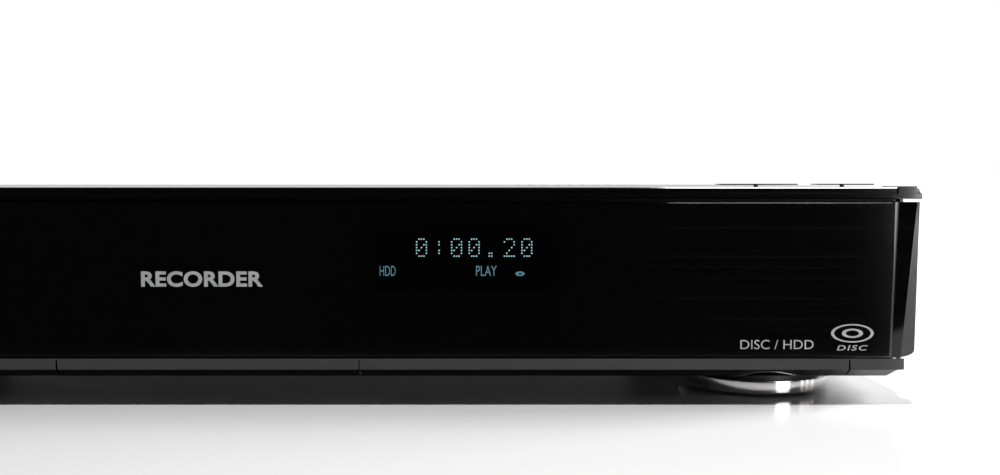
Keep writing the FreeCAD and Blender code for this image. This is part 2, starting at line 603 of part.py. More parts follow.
caps = [(-190, 72, 6, 12), (-172, 72, 9, 30), (-88, 66, 4.5, 18), (-77, 73, 4.5, 18), (-86, 82, 4, 14),
        (-76, 86, 4, 14)]
caps += [(176, 60, 3, 7), (184, 60, 3, 7), (192, 60, 3, 7), (72, -20, 3, 8), (82, -14, 3, 8)]
keep("capacitors", group(*[rod((x, y, BOARD_TOP), r, tall) for x, y, r, tall in caps]))
core = cut(box((-126, -94), (66, 94), (BOARD_TOP, 44)), box((-120, -100), (65, 95), (22.6, 39)))
keep("transformer_core", core)
keep("transformer_winding", box((-119.6, -100.4), (62, 98), (22.6, 39)))
psu = Form("psu")
psu.pad(psu.sketch("XY_Plane", BOARD_TOP, rect((-156, -154), (64, 96))), "26")
rib = psu.pad(psu.sketch("XY_Plane", BOARD_TOP, rect((-154, -146), (64, 65.2))), "26")
psu.row(rib, "Y_Axis", "30.8", 8)
keep("heatsinks", group(sink.body, psu.body))

# ---------------------------------------------------------------- display and front ports
display_board = fuse(box((22, 112), (-97, -95.4), (16, 58)),
                     *[box((x, x + 6), (-95.4, -85), (FLOOR, 20)) for x in (26, 100)])
keep("display_tube", box((46, 110), (-109.4, -97), (33, 53)))
plates = [box((115, 177), (-104, -20), (low, high)) for low, high in ((19, 20.4), (26.6, 27.4), (33.6, 35))]
walls = [box(x, (-104, -20), gap) for x in ((115, 117), (175, 177)) for gap in ((20.4, 26.6), (27.4, 33.6))]
backs = [box((117, 175), (-22, -20), gap) for gap in ((20.4, 26.6), (27.4, 33.6))]
LEG_ROWS = ((-98, FLOOR), (-24, BOARD_TOP))
legs = [rod((x, y, low), 2, "19 - (%s)" % low) for x in (119, 173) for y, low in LEG_ROWS]
keep("card_cage", group(*plates, *walls, *backs, *legs))
port_board = fuse(box((180, 206), (-103.5, -70), (31.4, 33)),
                  *[rod((x, y, FLOOR), 2, "31.4 - base_z - steel") for x, y in ((183, -73), (203, -73))])
keep("front_boards", group(key_board, display_board, port_board))
usb = fuse(cut(box((186.2, 199.4), (-108, -90), (33, 38.8)),
               box((186.8, 198.8), (-109, -92), (33.6, 38.2))),
                       box((187.8, 197.8), (-107, -92), (36.4, 37.6)))
card = cut(box((181, 205), (-104, -76), (28.4, 31.4)), box((182, 204), (-105, -78), (29, 30.6)))
keep("front_sockets", group(usb, card))

# ---------------------------------------------------------------- rear panel and sockets
JACKS = [(178.5, 24), (192.5, 24), (178.5, 38), (192.5, 38)]
AERIALS = [(75, 28), (89, 28)]
BACKS = {"hdmi_socket": ((100, 115), (17.6, 23.6), 102), "lan_socket": ((122, 138), (17.6, 31), 93),
         "rear_usb": ((144, 158), (17.6, 24.6), 98), "optical_socket": ((160, 170), (17.6, 27.6), 100)}
panel = Form("panel")
holes = [rect((x[0] - 0.3, x[1] + 0.3), (z[0] - 0.3, z[1] + 0.3)) for x, z, y in BACKS.values()]
holes += [(str(x), str(z), "5.2") for x, z in JACKS + AERIALS]
holes += [rect((-196.4, -169.6), (17.3, 33.7))]
panel.pad(panel.sketch("XZ_Plane", "-rear_y", rect(("-" + HALF + " + 1.3", HALF + " - 1.3"),
                                                   ("base_z", "lid_top - 1.3")),
                       *holes), "steel", True)
grille = panel.pocket(panel.sketch("XZ_Plane", "-rear_y + 1", rect((-20, 20), (19, 21.4))), "4")
panel.row(grille, "Z_Axis", "33", 9)
louvre = panel.pocket(panel.sketch("XZ_Plane", "-rear_y + 1", rect((-150, -147), (20, 54))), "4")
panel.row(louvre, "X_Axis", "60", 11)
keep("rear_panel", panel)

sockets = []
for x, z, y in BACKS.values():
    shell = box(x, (y, "rear_y + 1.8"), z)
    mouth = box((x[0] + 1, x[1] - 1), ("rear_y - 8", "rear_y + 3"), (z[0] + 1, z[1] - 1))
    tongue = box((x[0] + 2.6, x[1] - 2.6), ("rear_y - 8", "rear_y"), (z[0] + 2.4, z[0] + 3.4))
    sockets.append(fuse(cut(shell, mouth), tongue))
keep("data_sockets", group(*sockets[:3]))
keep("optical_socket", sockets[3])
keep("audio_jacks", fuse(box((172, 199), (98, "rear_y"), (BOARD_TOP, 45)),
                         *[cut(fuse(rod((x, "rear_y", z), 4.7, 1, "y"),
                                    rod((x, "rear_y + 1", z), 4.15, 5, "y")),
                                 rod((x, "rear_y + 1.5", z), 1.7, 6, "y")) for x, z in JACKS]))
keep("tuner_can", fuse(box((68, 96), (66, "rear_y"), (BOARD_TOP, 42)),
                       *[cut(fuse(rod((x, "rear_y", z), 5, 1, "y"),
                                  rod((x, "rear_y + 1", z), 4.75, 5, "y")),
                               rod((x, "rear_y + 1.5", z), 1.1, 6, "y")) for x, z in AERIALS]))
inlet = cut(box((-196, -170), (96, "rear_y + 2"), (BOARD_TOP, 33.4)),
            rod((-187.3, "rear_y - 12", 25.5), 4.6, 20, "y"),
            rod((-178.7, "rear_y - 12", 25.5), 4.6, 20, "y"),
            box((-187.3, -178.7), ("rear_y - 12", "rear_y + 8"), (20.9, 30.1)))
keep("mains_inlet", fuse(inlet, *[rod((x, "rear_y - 13", 25.5), 1.2, 12, "y") for x in (-187.3, -178.7)]))

# ---------------------------------------------------------------- fan
FAN = ("0", "fan_y", "fan_z")
square = box(("-fan_half", "fan_half"), ("fan_y", "fan_y + fan_deep"),
             ("fan_z - fan_half", "fan_z + fan_half"))
spider = [box((-0.8, 0.8), ("fan_y", "fan_y + 1.6"), ("fan_z - fan_half + 1", "fan_z + fan_half - 1")),
          box(("-fan_half + 1", "fan_half - 1"), ("fan_y", "fan_y + 1.6"), ("fan_z - 0.8", "fan_z + 0.8"))]
duct = cut(square, rod(("0", "fan_y - 1", "fan_z"), "fan_half - 1.5", "fan_deep + 2", "y"))
keep("fan_frame", fuse(duct, *spider, rod(FAN, 8, 1.6, "y"), rod(FAN, 1, "fan_deep - 1", "y")))
rotor = Form("rotor")
rotor.pad(rotor.sketch("XY_Plane", 0, ("0", "0", "10"), ("0", "0", "1.06")), "7.5")
wing = [("-2.5", "9.5"), ("-1.2", "9.5"), ("5.8", "22"), ("3.2", "22.4")]
vane = rotor.pad(rotor.sketch("XY_Plane", 0.6, wing), "6")
rotor.ring(vane, 7)
put(rotor.body, ("0", "fan_y + 2.2", "fan_z"), "y")
keep("fan_rotor", rotor)

# ---------------------------------------------------------------- fasteners and leads
screws += [rod((x, "rear_y + steel", z), 3, 1.6, "y") for x in (-208, -60, 40, 208) for z in (14, 60)]
keep("screws", group(*screws))


def lead(radius, *points):
    """A round lead along straight runs, with a ball at each turn."""
    pieces = []
    for here, there in zip(points, points[1:]):
        along = next(i for i in range(3) if here[i] != there[i])
        start = min(here, there, key=lambda p: p[along])
        pieces.append(rod(start, radius, abs(there[along] - here[along]), "xyz"[along]))
    for at in points[1:-1]:
        ball = doc.addObject("Part::Sphere", "turn")
        bind(ball, "Radius", radius)
        pieces.append(put(ball, at))
    return fuse(*pieces)


leads.append(lead(1.6, (-72, 52, 30), (-72, 54.6, 30), (-59, 54.6, 30), (-59, 96, 30), (57.5, 96, 30),
                        (57.5, 54, 30), (70, 54, 30), (70, 54, 17.6)))
leads.append(lead(1.6, (40, 92, 26), (40, 99.8, 26), (59.6, 99.8, 26), (59.6, 60, 26), (64, 60, 26),
                  (64, 60, 17.6)))
leads.append(lead(2, (-68, 86, 17.6), (-68, 86, 47), (62, 86, 47), (62, 40, 47), (80, 40, 47),
                  (80, 40, 17.6)))
leads.append(lead(1.5, (60, -95.4, 30), (60, -88, 30), (60, -88, 12.4), (90, -88, 12.4), (90, -34, 12.4),
                          (90, -34, 24), (90, -20, 24), (90, -20, 17.6)))
keep("inner_leads", group(*leads))

# ---------------------------------------------------------------- write
doc.recompute()
for item in doc.Objects:
    if "Invalid" in item.State or "Error" in item.State:
        raise RuntimeError("%s (%s) failed: %s" % (item.Name, item.Label, item.State))
os.makedirs("parts", exist_ok=True)
for item in kept:
    if item.Shape.isNull() or not item.Shape.isValid():
        raise RuntimeError("bad shape " + item.Label)
    item.Shape.exportStep("parts/%s.step" % item.Label)
print(len(kept), "sub-parts written")
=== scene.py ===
# %% [markdown]
# # A disc and hard-disk recorder, dressed for the camera
# The solid model of the recorder is already made and jointed. This lesson loads it as a fixed
# frame, gives every piece its own finish, and adds the thin things that solids leave out: the
# glowing dots, the printed marks, the painted shade of the screw recesses and small board parts.

import math

import bmesh
import bpy
from mathutils import Matrix, Vector


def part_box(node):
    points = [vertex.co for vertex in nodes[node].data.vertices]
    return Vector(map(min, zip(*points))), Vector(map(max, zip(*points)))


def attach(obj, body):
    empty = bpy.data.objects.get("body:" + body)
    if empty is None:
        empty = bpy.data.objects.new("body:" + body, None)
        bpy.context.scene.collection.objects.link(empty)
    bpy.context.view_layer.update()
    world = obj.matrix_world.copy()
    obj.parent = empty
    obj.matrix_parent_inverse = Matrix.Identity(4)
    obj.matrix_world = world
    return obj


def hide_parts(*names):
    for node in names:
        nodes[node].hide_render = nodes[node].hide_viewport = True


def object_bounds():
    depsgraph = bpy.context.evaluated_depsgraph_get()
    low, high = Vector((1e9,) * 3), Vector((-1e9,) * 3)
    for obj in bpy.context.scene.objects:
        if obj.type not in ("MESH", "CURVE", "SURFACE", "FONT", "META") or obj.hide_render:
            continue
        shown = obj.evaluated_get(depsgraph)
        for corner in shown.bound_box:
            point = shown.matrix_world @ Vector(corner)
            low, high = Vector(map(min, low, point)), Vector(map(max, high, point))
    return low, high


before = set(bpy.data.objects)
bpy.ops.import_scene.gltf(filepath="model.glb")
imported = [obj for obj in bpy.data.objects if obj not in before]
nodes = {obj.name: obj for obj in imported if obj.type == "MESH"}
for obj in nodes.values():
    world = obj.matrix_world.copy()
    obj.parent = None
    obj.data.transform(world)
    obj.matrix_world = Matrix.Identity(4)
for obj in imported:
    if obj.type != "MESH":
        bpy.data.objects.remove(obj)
cad_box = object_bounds()

# %% [markdown]
# The box of the whole recorder and the boxes of a few of its pieces give every place used
# below, so nothing is measured twice. Helpers answer with the low and high corner as vectors.

# %% Where things are
def corners(name):
    low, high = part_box(name)
    return Vector(low), Vector(high)


LOW, HIGH = Vector(cad_box[0]), Vector(cad_box[1])
PANE_LOW, PANE_HIGH = corners("flap_pane")
TUBE_LOW, TUBE_HIGH = corners("display_tube")
RING_LOW, RING_HIGH = corners("foot_rings")
SCREW_LOW, SCREW_HIGH = corners("screws")
FRONT = HIGH.y * -1
MM = 0.001
print("case", [round(v, 4) for v in HIGH - LOW], "front at", round(FRONT, 4))

# %% [markdown]
# ## Writing shaders as sums
# A finish is mostly arithmetic on patterns. Wiring that by hand hides the idea, so one small
# class wraps a node's output and overloads the operators: `0.2 + grain * 0.1` adds the Math
# nodes it needs. Plain numbers stay plain numbers, worked out in Python.

# %% The socket class
class Wave:
    """A value that varies over a surface, held as a node's output."""

    def __init__(self, tree, socket):
        self.tree = tree
        self.socket = socket

    def math(self, operation, *others):
        node = self.tree.nodes.new("ShaderNodeMath")
        node.operation = operation
        for slot, value in zip(node.inputs, (self,) + others):
            plug(self.tree, slot, value)
        return Wave(self.tree, node.outputs[0])

    def __add__(self, other):
        return self.math("ADD", other)

    def __mul__(self, other):
        return self.math("MULTIPLY", other)

    def __sub__(self, other):
        return self.math("SUBTRACT", other)

    def __rsub__(self, other):
        return (self * -1.0) + other

    def __gt__(self, other):
        return self.math("GREATER_THAN", other)

    def __lt__(self, other):
        return self.math("LESS_THAN", other)

    __radd__ = __add__
    __rmul__ = __mul__


def plug(tree, slot, value):
    """Link a wave to a socket, or set a plain value on it."""
    if isinstance(value, Wave):
        tree.links.new(value.socket, slot)
    else:
        slot.default_value = value


# %% [markdown]
# A tree is always started the same way, and every other node comes from one method: its kind,
# its settings, then the values or waves of its sockets. An underscore in a socket's name
# stands for a space, and a name such as i6 means the seventh socket of the node.

# %% Building a tree
class Tree:
    """A node tree being built, for a finish or for the room."""

    def __init__(self, owner):
        owner.use_nodes = True
        self.tree = owner.node_tree
        self.tree.nodes.clear()

    def node(self, kind, settings=None, out=0, **sockets):
        made = self.tree.nodes.new("ShaderNode" + kind)
        for key, value in (settings or {}).items():
            setattr(made, key, value)
        for key, value in sockets.items():
            slot = made.inputs[int(key[1:])] if key[1:].isdigit() else made.inputs[key.replace("_", " ")]
            plug(self.tree, slot, value)
        return Wave(self.tree, made.outputs[out])

    def step(self, wave, low, high):
        """0 below low, 1 above high, smooth between."""
        return self.node("MapRange", {"interpolation_type": "SMOOTHSTEP"}, Value=wave,
                         From_Min=low, From_Max=high)

    def close(self, kind, shader):
        """The output node, with the last shader joined to it."""
        end = self.tree.nodes.new("ShaderNodeOutput" + kind)
        self.tree.links.new(shader.socket, end.inputs["Surface"])


# %% [markdown]
# A finish is a tree that knows the patterns used here: noise, spots, grain that runs one way,
# soft steps and bumps. All of them read Object coordinates, which are real metres, so a scale
# of 1000 means features about a millimetre apart on every piece.

# %% Building a finish
class Finish(Tree):
    """One material: its pattern sources and its surface."""

    def __init__(self, name):
        self.material = bpy.data.materials.new(name)
        super().__init__(self.material)
        self.place = self.node("TexCoord", out="Object")

    def axis(self, letter):
        return self.node("SeparateXYZ", out=letter, Vector=self.place)

    def stretch(self, x, y, z, shift=(0, 0, 0)):
        """Object coordinates scaled along each axis, for grain that runs one way."""
        return self.node("Mapping", Vector=self.place, Scale=(x, y, z), Location=shift)

    def noise(self, scale, detail=2.0, place=None, rough=0.5):
        return self.node("TexNoise", Vector=place or self.place, Scale=scale, Detail=detail,
                         Roughness=rough)

    def spots(self, scale):
        """How far each place is from the nearest of many scattered points."""
        return self.node("TexVoronoi", Vector=self.place, Scale=scale)

    def mix(self, share, first, second):
        return self.node("Mix", {"data_type": "RGBA"}, 2, i0=share, i6=rgba(first), i7=rgba(second))

    def bump(self, height, strength, distance=0.0002, **under):
        return self.node("Bump", Height=height, Strength=strength, Distance=distance, **under)

    def skin(self, colour, rough, metal=0.0, **extra):
        """The Principled surface, joined to the output."""
        self.close("Material", self.node("BsdfPrincipled", Base_Color=rgba(colour), Roughness=rough,
                                         Metallic=metal, **extra))
        return self.material


def rgba(colour):
    return colour if isinstance(colour, Wave) else tuple(colour) + (1,)


def grey(value):
    return (value, value, value)


def shade(colour, share):
    """The same colour, darker or lighter."""
    return tuple(channel * share for channel in colour)


print("shader helpers ready")


# %% [markdown]
# ## The brushed black front
# The front is clear acrylic with a black film behind it that has been brushed along its
# length. The brush lines are a real pattern, and they are painted a shade lighter, a painted
# sheen for the faint light they catch; over the display the film is left out, so that the
# window is only smoked. Noise squeezed hard in height gives the hairlines, and four soft
# steps fence in the window (left, right, low, high). Near its right end the pane turns back
# a little past a leaning line, which a smooth bump bends more gently than the flat facets of
# the solid.

# %% Brushed black
WINDOW = (0.050, 0.106, 0.0345, 0.0525)
SMOKE = 0.6
BEND_TOP = 0.2078
BEND_LEAN = 0.03


def brushed_black(name, window=None):
    """Hairlines along x, dust, and a soft bend to the right of BEND_TOP; window may be clear."""
    f = Finish(name)
    x, z = f.axis("X"), f.axis("Z")
    lines = f.noise(1.0, 3.0, f.stretch(7, 7, 4200))
    broad = f.noise(1.0, 2.0, f.stretch(2.2, 2.2, 900, (3, 0, 0)))
    hair = lines * 0.65 + broad * 0.35
    wipe = f.noise(14, 3.0)
    dust = f.step(f.spots(420), 0.055, 0.03) * f.step(f.noise(60), 0.55, 0.66)
    patch = f.step(f.noise(9, 2.0), 0.35, 0.7)
    calm, extra = 1.0, {}
    if window:
        left, right, low, high = window
        calm = 1.0 - (f.step(x, left - 0.03, left + 0.004) * f.step(x, right + 0.045, right - 0.004))
        inside = (f.step(x, left - 0.002, left + 0.004) * f.step(x, right + 0.002, right - 0.004)
                  * f.step(z, low - 0.002, low + 0.0015) * f.step(z, high + 0.002, high - 0.0015))
        extra["Alpha"] = 1.0 - inside * SMOKE
    # Painted sheen: the hairlines painted lighter for the light they catch, varied in patches and kept off a
    # band across the window's width
    lit = f.step(hair, 0.45, 0.74) * calm * (0.4 + patch * 0.6)
    colour = f.mix(lit, (0.0009, 0.0009, 0.001), (0.008, 0.0076, 0.0076))
    colour = f.mix(dust * 0.35, colour, grey(0.05))
    past = (x - (z - PANE_HIGH.z) * BEND_LEAN - BEND_TOP) * (1 / MM)
    turned = f.step(past, -0.6, 0.6)
    on_bend = turned * (1.0 - turned) * 4.0
    rough = 0.055 + wipe * 0.04 + dust * 0.3 + on_bend * (0.03 + lines * 0.3)
    curve = past.math("SMOOTH_MAX", 0.0, 0.6) * -0.14
    normal = f.bump(curve, 1.0, MM, Normal=f.bump(hair, 0.03, 0.00004))
    return f.skin(colour, rough, Normal=normal, Specular_IOR_Level=0.45, Coat_Weight=0.2 * (1.0 - turned),
                  Coat_Roughness=0.03, **extra)


flap_black = brushed_black("brushed_black_window", WINDOW)
front_black = brushed_black("brushed_black")
print("front finishes:", flap_black.name, front_black.name)

# %% [markdown]
# ## Moulded plastics
# Polished black plastic is never perfectly even: moulding leaves a slow waviness and handling
# leaves fine wipe marks, so its roughness drifts and a shallow bump bends reflections. Matt
# mouldings carry a spark-eroded texture, which is fine noise in the bump.

# %% Polished and matt plastic
def polished(name, colour, rough=0.06):
    f = Finish(name)
    haze = f.noise(22, 3.0)
    wipes = f.noise(1.0, 2.0, f.stretch(30, 30, 260))
    specks = f.step(f.spots(520), 0.05, 0.02)
    tint = f.mix(specks * 0.4, colour, grey(min(colour[0] * 3 + 0.02, 1)))
    return f.skin(tint, rough + haze * 0.05 + wipes * 0.03 + specks * 0.2,
                  Normal=f.bump(haze + wipes * 0.3, 0.04, 0.0002), Coat_Weight=0.3, Coat_Roughness=0.03)


def moulded(name, colour, rough=0.5, grain=1500, depth=0.25):
    f = Finish(name)
    pebble = f.noise(grain, 3.0)
    drift = f.noise(18, 2.0)
    return f.skin(f.mix(drift * 0.8 + pebble * 0.2, shade(colour, 0.72), shade(colour, 1.15)),
                  rough + pebble * 0.16 - 0.05, Normal=f.bump(pebble, depth, 0.00012))


gloss_black = polished("polished_black", (0.0022, 0.0019, 0.002))
matt_black = moulded("moulded_black", grey(0.016), 0.45)
matt_grey = moulded("moulded_grey", (0.13, 0.135, 0.14), 0.5)
matt_white = moulded("acetal_white", (0.72, 0.71, 0.67), 0.38, 900, 0.08)
tray_black = moulded("tray_black", grey(0.03), 0.42, 1100, 0.18)
epoxy = moulded("chip_epoxy", grey(0.022), 0.55, 2600, 0.3)
rubber = moulded("rubber", grey(0.012), 0.75, 800, 0.35)
print("plastics:", ", ".join(m.name for m in (gloss_black, matt_black, matt_grey, matt_white, tray_black)))

# %% [markdown]
# ## Metals
# Galvanised sheet shows big soft crystals, called spangle. Rolled and ground steel has lines
# along one axis. Cast aluminium is grainy and dull. The cover is steel under black powder
# paint. Each is the same few steps at different scales, so one function per process is
# enough, and a finish is a colour and a direction.

# %% Sheet, ground, cast and painted metal
def spangled(name, colour):
    f = Finish(name)
    flakes = f.spots(210)
    cells = f.node("TexVoronoi", out="Color", Vector=f.place, Scale=210.0)
    tone = f.node("RGBToBW", Color=cells)
    rolled = f.noise(1.0, 2.0, f.stretch(20, 900, 900))
    tint = f.mix(tone * 0.7 + rolled * 0.3, shade(colour, 0.72), shade(colour, 1.12))
    return f.skin(tint, 0.3 + tone * 0.16 + rolled * 0.08, 1.0,
                  Normal=f.bump(flakes + rolled * 0.2, 0.05, 0.0002))


def ground(name, colour, along=(1, 1, 1), rough=0.22):
    f = Finish(name)
    lines = f.noise(1.0, 3.0, f.stretch(*[1800 if a else 30 for a in along]))
    stain = f.noise(40, 3.0)
    tint = f.mix(stain * 0.6 + lines * 0.4, shade(colour, 0.8), colour)
    return f.skin(tint, rough + lines * 0.14 + stain * 0.05, 1.0, Normal=f.bump(lines, 0.08, 0.00006))


def cast(name, colour):
    f = Finish(name)
    sand = f.noise(1300, 4.0, rough=0.7)
    cloud = f.noise(30, 3.0)
    return f.skin(f.mix(cloud, shade(colour, 0.7), colour), 0.42 + sand * 0.2, 1.0,
                  Normal=f.bump(sand, 0.3, 0.00015))


def satin_paint(name, colour):
    """Powder paint: a shallow orange peel, fine grit, slow dust and a few rubbed places."""
    f = Finish(name)
    peel = f.noise(650, 2.0)
    grit = f.noise(2600, 3.0, rough=0.6)
    dust = f.noise(9, 4.0)
    worn = f.step(f.noise(75, 5.0), 0.68, 0.8)
    tint = f.mix(worn * 0.12, f.mix(dust * 0.6, colour, shade(colour, 1.9)), grey(0.09))
    return f.skin(tint, 0.2 + grit * 0.08 + dust * 0.05,
                  Normal=f.bump(peel * 0.6 + grit * 0.4, 0.06, 0.00008),
                  Coat_Weight=0.2, Coat_Roughness=0.12)


zinc = spangled("zinc_sheet", (0.6, 0.61, 0.62))
tin = spangled("tinned_can", (0.68, 0.68, 0.67))
steel = ground("ground_steel", (0.6, 0.6, 0.61), (1, 0, 1))
lid_steel = ground("rolled_lid", (0.66, 0.66, 0.67), (0, 1, 1), 0.26)
screw_steel = ground("screw_zinc", (0.5, 0.5, 0.49), (1, 1, 1), 0.3)
cast_metal = cast("cast_aluminium", (0.52, 0.53, 0.54))
fin_metal = ground("extruded_fins", (0.7, 0.71, 0.72), (1, 1, 0), 0.3)
ferrite = cast("ferrite", grey(0.06))
cover_paint = satin_paint("satin_black", grey(0.0125))
print("metals:", ", ".join(m.name for m in (zinc, tin, steel, cast_metal, cover_paint)))

# %% [markdown]
# ## Boards, tape and sleeves
# A board is green solder resist over copper: where a track runs the green is lighter and
# stands a hair proud. Blocks of a stretched brick pattern make runs of tracks that change
# direction, and round dots make the drilled lands. The cheaper power board is tan paper.

# %% Boards and small electrical finishes
def board(name, resist, track):
    f = Finish(name)
    runs = f.node("TexBrick", {"offset": 0.5}, 1, Vector=f.place, Scale=260.0, Mortar_Size=0.035,
                  Brick_Width=1.9, Row_Height=0.24)
    patch = f.noise(46, 1.0) > 0.5
    lines = runs * patch
    lands = f.step(f.spots(300), 0.16, 0.12)
    pads = lands * (1.0 - patch)
    colour = f.mix(lines, resist, track)
    colour = f.mix(pads, colour, (0.62, 0.6, 0.55))
    weave = f.noise(900, 2.0)
    return f.skin(colour, 0.3 + weave * 0.12 - pads * 0.05, pads * 0.9,
                  Normal=f.bump(lines * 0.6 + pads, 0.25, 0.00006), Coat_Weight=0.25, Coat_Roughness=0.12)


def taped(name, colour):
    f = Finish(name)
    turns = f.node("TexWave", {"wave_type": "BANDS", "bands_direction": "Z"}, Vector=f.place, Scale=180.0,
                   Distortion=0.6, Detail=1.0)
    edge = f.node("RGBToBW", Color=turns)
    return f.skin(f.mix(edge * 0.5, colour, shade(colour, 0.55)), 0.16 + edge * 0.12,
                  Normal=f.bump(edge, 0.12, 0.0001), Coat_Weight=0.4, Coat_Roughness=0.08)


def sleeved(name, colour, stripe):
    f = Finish(name)
    band = f.node("TexWave", {"wave_type": "BANDS", "bands_direction": "X"}, Vector=f.place, Scale=55.0)
    mark = f.step(f.node("RGBToBW", Color=band), 0.9, 0.94)
    shrink = f.noise(160, 2.0)
    return f.skin(f.mix(mark * 0.8, colour, stripe), 0.2 + shrink * 0.16,
                  Normal=f.bump(shrink, 0.08, 0.0002), Coat_Weight=0.2, Coat_Roughness=0.1)


def insulated(name, colour):
    """Soft sheathing: faint lengthwise draw lines, a dull bloom and small scuffs."""
    f = Finish(name)
    drawn = f.noise(1.0, 2.0, f.stretch(700, 60, 700))
    bloom = f.noise(35, 3.0)
    scuff = f.step(f.noise(240, 3.0), 0.62, 0.72)
    tint = f.mix(bloom * 0.6, shade(colour, 0.7), colour)
    return f.skin(f.mix(scuff * 0.25, tint, grey(0.12)), 0.36 + bloom * 0.14 + scuff * 0.15,
                  Normal=f.bump(drawn + scuff * 0.4, 0.1, 0.0001))


green_board = board("green_board", (0.008, 0.075, 0.03), (0.02, 0.17, 0.07))
tan_board = board("tan_board", (0.42, 0.27, 0.11), (0.5, 0.35, 0.17))
amber_tape = taped("amber_tape", (0.62, 0.42, 0.06))
cap_sleeve = sleeved("capacitor_sleeve", (0.012, 0.016, 0.05), (0.6, 0.62, 0.66))
lead_grey = insulated("lead_sheath", (0.05, 0.052, 0.058))
print("electrical:", ", ".join(m.name for m in (green_board, tan_board, amber_tape, cap_sleeve, lead_grey)))

# %% [markdown]
# ## Glass
# The display is a flat vacuum tube. Unlit it is nearly black with a faint grey-green getter
# haze, so it is a dark glossy surface here and the lit dots are added in front of it. The
# lens of the laser is small, blue and very smooth.

# %% Tube and lens
def tube_finish():
    f = Finish("display_tube_dark")
    mesh = f.noise(1.0, 1.0, f.stretch(2600, 10, 2600))
    haze = f.noise(60, 2.0)
    return f.skin(f.mix(haze * 0.7, (0.0008, 0.001, 0.001), (0.002, 0.0024, 0.0024)), 0.22 + mesh * 0.1,
                  Normal=f.bump(mesh, 0.02, 0.00003), Specular_IOR_Level=0.15)


def lens_finish():
    f = Finish("coated_lens")
    rings = f.noise(900, 1.0)
    return f.skin(f.mix(rings, (0.03, 0.05, 0.22), (0.08, 0.04, 0.2)), 0.03 + rings * 0.03,
                  Normal=f.bump(rings, 0.02, 0.00005), Coat_Weight=1.0, Coat_Roughness=0.02)


dark_glass = tube_finish()
lens_glass = lens_finish()
print("glass:", dark_glass.name, lens_glass.name)

# %% [markdown]
# ## Polished foot ring
# The rings under the feet are plated and polished bright. Turned metal keeps very fine lines
# round the ring, so the roughness is patterned by height, and a slight cloudiness breaks the
# mirror into streaks.

# %% Chrome
def chromed():
    f = Finish("foot_chrome")
    lines = f.noise(1.0, 2.0, f.stretch(15, 15, 6500))
    cloud = f.noise(90, 3.0)
    return f.skin(f.mix(cloud * 0.5, (0.66, 0.65, 0.65), (0.8, 0.79, 0.78)),
                  0.07 + lines * 0.08 + cloud * 0.04, 1.0,
                  Normal=f.bump(lines, 0.06, 0.00005))


chrome = chromed()
print("plating:", chrome.name)

# %% [markdown]
# ## Dressing the solids
# The table below says which finish each solid wears. A solid that has no entry would show as
# plain grey, so the loop stops if one is forgotten.

# %% Finish for every solid
WEARS = {
    flap_black: "flap_pane",
    front_black: "left_fascia tray_door",
    gloss_black: "front_trim lower_chin power_key open_key",
    matt_black: "flap_frame front_bezel foot_hubs audio_jacks optical_socket mains_inlet fan_frame fan_rotor",
    matt_grey: "drive_deck disc_hub rod_holders",
    matt_white: "loading_pinion loading_pulley clamp_puck",
    tray_black: "disc_tray",
    epoxy: "main_chips key_switches",
    rubber: "foot_pads flap_bumpers hdd_grommets loading_belt",
    zinc: "base_chassis rear_panel drive_cover hdd_bracket traverse_plate",
    tin: "tuner_can card_cage data_sockets front_sockets",
    steel: "guide_rods feed_screw hinge_pins",
    lid_steel: "hdd_lid",
    screw_steel: "screws board_standoffs loading_motor spindle_motor",
    cast_metal: "hdd_case laser_sled",
    fin_metal: "heatsinks",
    ferrite: "transformer_core",
    cover_paint: "top_cover",
    green_board: "main_board front_boards hdd_board",
    tan_board: "power_board",
    amber_tape: "transformer_winding",
    cap_sleeve: "capacitors",
    lead_grey: "inner_leads",
    dark_glass: "display_tube",
    lens_glass: "lens",
    chrome: "foot_rings",
}
dressed = set()
for finish, names in WEARS.items():
    for name in names.split():
        solid = nodes[name]
        solid.data.materials.clear()
        solid.data.materials.append(finish)
        dressed.add(name)
bare = set(nodes) - dressed
print("bare solids:", sorted(bare))
if bare:
    raise SystemExit("a solid has no finish")

# %% [markdown]
# ## Making a new piece
# Each new piece starts as a bmesh, is shaped by operators, and ends as a mesh whose object
# sits at the origin. The helper below closes that off: it writes the mesh, gives the finish,
# says which moving body carries the piece, and prints how large it came out.

# %% Piece helper
def piece(name, shape, finish, body):
    mesh = bpy.data.meshes.new(name)
    shape.to_mesh(mesh)
    shape.free()
    made = bpy.data.objects.new(name, mesh)
    bpy.context.collection.objects.link(made)
    made.data.materials.append(finish)
    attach(made, body)
    print(name, len(mesh.polygons), "faces on", body)
    return made


# %% [markdown]
# Round parts are a profile turned with spin, square ones a cube with rounded edges. A set of
# like parts is joined into one mesh, and round ones are shaded smooth up to a given crease.

# %% Shape helpers
def smooth(made, angle=35):
    for face in made.data.polygons:
        face.use_smooth = True
    made.data.set_sharp_from_angle(angle=math.radians(angle))
    return made


STANDING = {"Z": Matrix(), "Y": Matrix.Rotation(-math.pi / 2, 4, "X")}


def spun(profile, centre, axis="Z", steps=64):
    """A closed profile of (radius, height) points turned once round an axis."""
    shape = bmesh.new()
    ring = [shape.verts.new((r, 0, h)) for r, h in profile]
    edges = [shape.edges.new((a, b)) for a, b in zip(ring, ring[1:] + ring[:1])]
    bmesh.ops.spin(shape, geom=ring + edges, cent=(0, 0, 0), axis=(0, 0, 1), angle=math.tau, steps=steps,
                   use_merge=True)
    bmesh.ops.remove_doubles(shape, verts=shape.verts, dist=1e-7)
    bmesh.ops.recalc_face_normals(shape, faces=shape.faces)
    bmesh.ops.transform(shape, matrix=Matrix.Translation(centre) @ STANDING[axis], verts=shape.verts)
    return shape


def join(shapes):
    """Several bmeshes as one."""
    whole = bmesh.new()
    for shape in shapes:
        mesh = bpy.data.meshes.new("part")
        shape.to_mesh(mesh)
        shape.free()
        whole.from_mesh(mesh)
        bpy.data.meshes.remove(mesh)
    return whole


